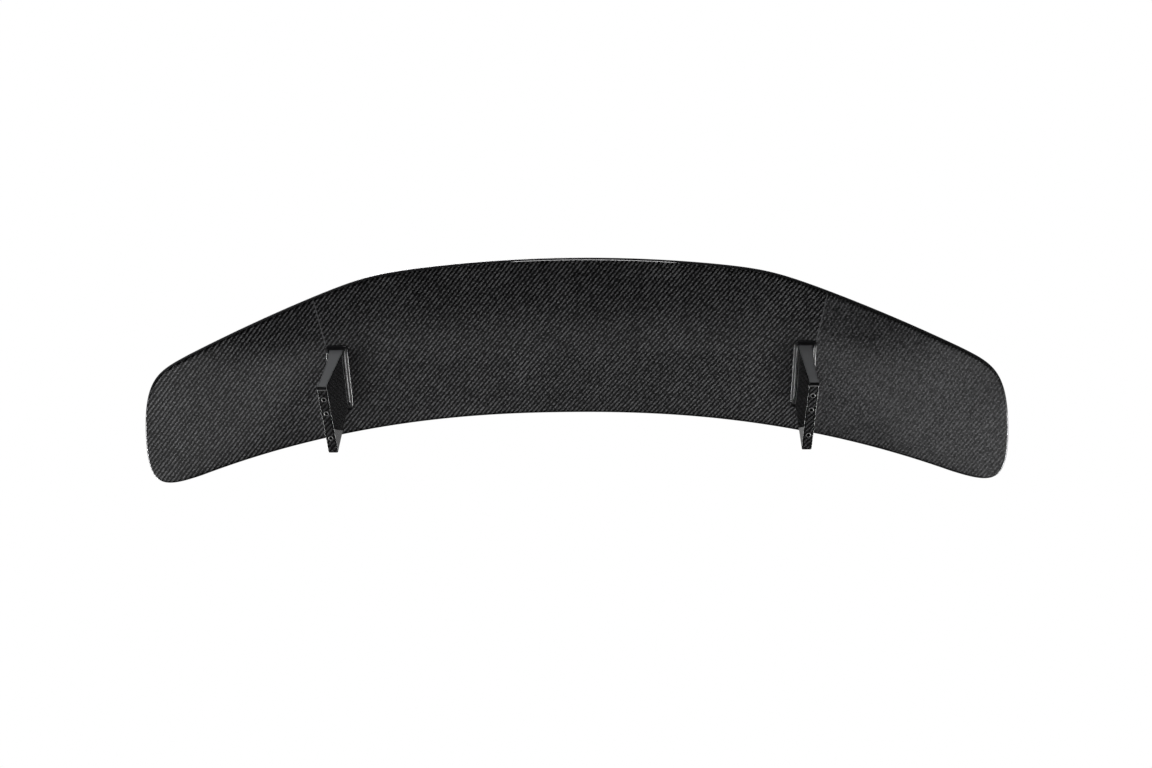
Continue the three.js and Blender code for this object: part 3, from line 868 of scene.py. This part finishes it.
def seam_resin(graph, tone, x, y):
    """A thin pale resin line along the cloth splice behind each fin."""
    m = graph.math
    (x0, y0), (x1, y1), _ = SEAM_PATH
    slope = (x1 - x0) / (y1 - y0)
    line = m("ADD", x0, m("MULTIPLY", m("SUBTRACT", y, y0), slope))
    off = m("ABSOLUTE", m("SUBTRACT", m("ABSOLUTE", x), line))
    near = m("MULTIPLY", m("LESS_THAN", off, SEAM_HALF_WIDTH), m("LESS_THAN", y, y1 + SEAM_OVERRUN))
    return graph.mix(near, tone, SEAM_TONE)


def plain(name, colour, metallic, roughness, grain, coat=0.0, specular=0.5):
    """Solid material with fine grain in colour, roughness and bump."""
    graph = Graph(bpy.data.materials.new(name))
    *_, vector = graph.position()
    fine = graph.noise(vector, grain, 4)
    shader = graph.shader
    graph.link(graph.tint(graph.lift(fine, *GRAIN_SHADE), colour), shader.inputs["Base Color"])
    graph.link(graph.bump(fine, GRAIN_STRENGTH, GRAIN_DEPTH), shader.inputs["Normal"])
    smoothest = roughness - GRAIN_ROUGHNESS / 2
    graph.link(graph.lift(fine, smoothest, GRAIN_ROUGHNESS), shader.inputs["Roughness"])
    shader.inputs["Metallic"].default_value = metallic
    shader.inputs["Coat Weight"].default_value = coat
    shader.inputs["Coat Roughness"].default_value = 0.04
    shader.inputs["Specular IOR Level"].default_value = specular
    coat_ripple(graph, vector)
    return graph.owner


def foam_material():
    graph = Graph(bpy.data.materials.new("structural_foam"))
    *_, vector = graph.position()
    voronoi = graph.node("ShaderNodeTexVoronoi")
    voronoi.inputs["Scale"].default_value = FOAM_SCALE
    graph.link(vector, voronoi.inputs["Vector"])
    cells = voronoi.outputs["Distance"]
    graph.link(graph.tint(graph.lift(cells, *FOAM_SHADE), FOAM_COLOUR), graph.shader.inputs["Base Color"])
    graph.link(graph.bump(cells, 1, FOAM_DEPTH), graph.shader.inputs["Normal"])
    graph.shader.inputs["Roughness"].default_value = 0.9
    return graph.owner


# ---------------------------------------------------------------- pieces
def settle(piece, node, slot, *materials):
    for material in materials:
        piece.data.materials.append(material)
    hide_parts(node)
    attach(piece, "root")


def settle_fin(piece, node, slot, cloth, sole):
    """Cloth on the broad faces, bare laminate on the upright ends, the given material on the sole
    and smooth resin round its edge."""
    settle(piece, node, slot, cloth, fin_edge, sole, resin)
    for face in piece.data.polygons:
        if abs(face.normal.y) > END_NORMAL:
            face.material_index = 1
        elif abs(face.normal.z) > SOLE_NORMAL:
            face.material_index = 2
        elif abs(face.normal.z) > SOLE_EDGE_NORMAL and face.center.z < SOLE_ROUND * MM:
            face.material_index = 3


def settle_under(name, start, end, node, cloth):
    """One panel of the underside, between two columns of the grid."""
    settle(lens(name, lower_levels(), start, end), node, "twill_skin", cloth, resin)


def give(node, material):
    mesh = frame["nodes"][node].data
    mesh.materials.clear()
    mesh.materials.append(material)


centre_cloth = carbon("twill_centre", "xy", CENTRE_TWILL, seams=True)
top_cloth = carbon("twill_top", "xy", CENTRE_TWILL, coat=1.0)
left_cloth = carbon("twill_left", "xy", LEFT_TWILL, seams=True)
right_cloth = carbon("twill_right", "xy", RIGHT_TWILL, seams=True, tones=(RIGHT_SHADED_WEFT_TONE, RIGHT_LIT_WARP_TONE))
# the fins' twill is darkened by painted shade
fin_cloths = {
    word: carbon(f"twill_fin_{word}", "yz", FIN_TWILL[word], shade=FIN_PAINTED_SHADE, coat=FIN_COAT,
                 edge_tint=FIN_EDGE_TINT)
    for word in SIDES
}
sole_cloth = carbon("twill_sole", "xy", CENTRE_TWILL, shade=SOLE_PAINTED_SHADE, coat=1.0)
fin_edge = plain("fin_laminate", (0.10, 0.102, 0.105), 0.0, 0.45, 0.6, coat=0.5)
resin = plain("clear_resin", (0.012, 0.012, 0.013), 0.0, 0.2, 0.3, coat=1.0, specular=0.0)
insert_metal = plain("insert_steel", (0.8, 0.8, 0.8), 1.0, 0.5, 3.0)
# painted shade: the thread bore is near black, for the shade inside the hole
shaded_bore_metal = plain("bore_painted_shade", (0.03, 0.03, 0.032), 1.0, 0.5, 3.0)
stud_metal = plain("stud_steel", (0.56, 0.57, 0.58), 1.0, 0.35, 3.0)
alloy = plain("hard_point_alloy", (0.66, 0.67, 0.69), 1.0, 0.4, 2.0)
foam = foam_material()

first, last = SEAM_COLUMNS
settle(lens("top_shell", upper_levels()), "upper_skin", "twill_skin", top_cloth, resin)
settle_under("under_centre", first, last, "lower_skin_center", centre_cloth)
settle_under("under_left", 0, first, "lower_skin_left", left_cloth)
settle_under("under_right", last, COLUMNS, "lower_skin_right", right_cloth)
give("foam_core_center", foam)
for word, side in SIDES.items():
    core = fin_core(f"fin_body_{word}", side)
    drill(core, side)
    cloth = fin_cloths[word]
    settle_fin(core, f"fin_core_{word}", "fin_laminate", cloth, sole_cloth)
    inside = fin_inner_skin(f"fin_inside_{word}", side)
    settle_fin(inside, f"fin_inner_skin_{word}", "twill_fin", cloth, resin)
    outside = fin_outer_skin(f"fin_outside_{word}", side)
    settle_fin(outside, f"fin_outer_skin_{word}", "twill_fin", cloth, resin)
    settle(root_flange(f"fin_flange_{word}", side), f"root_flange_{word}", "twill_fin", resin)
    for place, from_rear in INSERT_FROM_REAR.items():
        ring = threaded_insert(f"sole_insert_{word}_{place}", side, from_rear)
        settle(ring, f"foot_insert_{word}_{place}", "insert_steel", insert_metal, shaded_bore_metal)
    give(f"foam_core_{word}", foam)
    give(f"hard_point_{word}", alloy)
    for place in ("rear", "front"):
        give(f"root_stud_{word}_{place}", stud_metal)


# ---------------------------------------------------------------- stage
def floor():
    """A pale plane seen from above only, since the camera looks up through it."""
    bm = bmesh.new()
    bmesh.ops.create_grid(bm, x_segments=FLOOR_CELLS, y_segments=FLOOR_CELLS, size=FLOOR_SIZE)
    plane = finish_mesh("stage_floor", bm)
    graph = Graph(bpy.data.materials.new("stage_floor"))
    graph.shader.inputs["Base Color"].default_value = FLOOR_COLOUR
    graph.shader.inputs["Roughness"].default_value = FLOOR_ROUGHNESS
    clear = graph.node("ShaderNodeBsdfTransparent")
    one_sided = graph.node("ShaderNodeMixShader")
    graph.link(graph.node("ShaderNodeNewGeometry").outputs["Backfacing"], one_sided.inputs["Fac"])
    graph.link(graph.shader.outputs[0], one_sided.inputs[1])
    graph.link(clear.outputs[0], one_sided.inputs[2])
    graph.link(one_sided.outputs[0], graph.tree.nodes["Material Output"].inputs["Surface"])
    plane.data.materials.append(graph.owner)
    plane.visible_shadow = False
    plane.visible_glossy = False
    plane.visible_diffuse = False


def area_light(name, place, target, size, power):
    data = bpy.data.lights.new(name, "AREA")
    data.shape = "RECTANGLE"
    data.size, data.size_y = size
    data.energy = power
    lamp = bpy.data.objects.new(name, data)
    bpy.context.collection.objects.link(lamp)
    lamp.location = place
    lamp.rotation_mode = "QUATERNION"
    lamp.rotation_quaternion = (Vector(target) - Vector(place)).to_track_quat("-Z", "Y")
    return lamp


def world():
    """White behind the object for the camera, a dim studio for light and reflections."""
    made = bpy.data.worlds.new("studio")
    bpy.context.scene.world = made
    graph = Graph(made)
    m = graph.math
    split = graph.node("ShaderNodeSeparateXYZ")
    graph.link(graph.node("ShaderNodeTexCoord").outputs["Generated"], split.inputs[0])
    x, y, z = split.outputs
    below = graph.step(z, *BELOW_Z)
    beside = graph.step(m("ABSOLUTE", x), *BESIDE_X)
    tone = graph.mix(below, ROOM_ABOVE, ROOM_BELOW)
    tone = m("ADD", tone, m("MULTIPLY", beside, ROOM_BESIDE))
    front = m("MULTIPLY", graph.step(y, *FRONT_Y), graph.step(z, *FRONT_Z))
    tone = m("ADD", tone, m("MULTIPLY", front, ROOM_FRONT))
    left, right = (
        m("MULTIPLY", graph.step(x, *inner), graph.step(x, *outer))
        for inner, outer in (LEFT_SHEET_X, RIGHT_SHEET_X)
    )
    lengthwise = m("MULTIPLY", graph.step(y, *SHEET_REAR_Y), graph.step(y, *GLOW_FRONT_Y))
    sheets = m("MULTIPLY", m("ADD", left, right), lengthwise)
    band = m("MULTIPLY", graph.step(y, *BAND_REAR_Y), graph.mix(graph.step(y, *AHEAD_Y), 1.0, ROOM_AHEAD))
    gap = m("SUBTRACT", graph.step(x, *reversed(LEFT_SHEET_X[0])), graph.step(x, *RIGHT_SHEET_X[0]))
    band = m("MULTIPLY", m("MULTIPLY", band, gap), graph.step(y, *GLOW_FRONT_Y))
    glow = m("ADD", m("MULTIPLY", sheets, ROOM_SHEET), m("MULTIPLY", band, ROOM_BAND))
    tone = m("ADD", tone, m("MULTIPLY", glow, graph.step(z, *GLOW_Z)))
    background = graph.tree.nodes["Background"]
    graph.link(tone, background.inputs["Strength"])
    background.inputs["Color"].default_value = (1, 1, 1, 1)
    white = graph.node("ShaderNodeBackground")
    white.inputs["Color"].default_value = (1, 1, 1, 1)
    pick = graph.node("ShaderNodeMixShader")
    graph.link(graph.node("ShaderNodeLightPath").outputs["Is Camera Ray"], pick.inputs["Fac"])
    graph.link(background.outputs[0], pick.inputs[1])
    graph.link(white.outputs[0], pick.inputs[2])
    graph.link(pick.outputs[0], graph.tree.nodes["World Output"].inputs["Surface"])


bpy.context.scene.view_settings.view_transform = "Standard"
world()
floor()
area_light("top_key", **TOP_KEY)
rear = area_light("rear_fill", **REAR_FILL)
rear.visible_glossy = False
rear.data.spread = REAR_FILL_SPREAD
for name, settings in RIM_LIGHTS.items():
    area_light(name, **settings).visible_diffuse = False
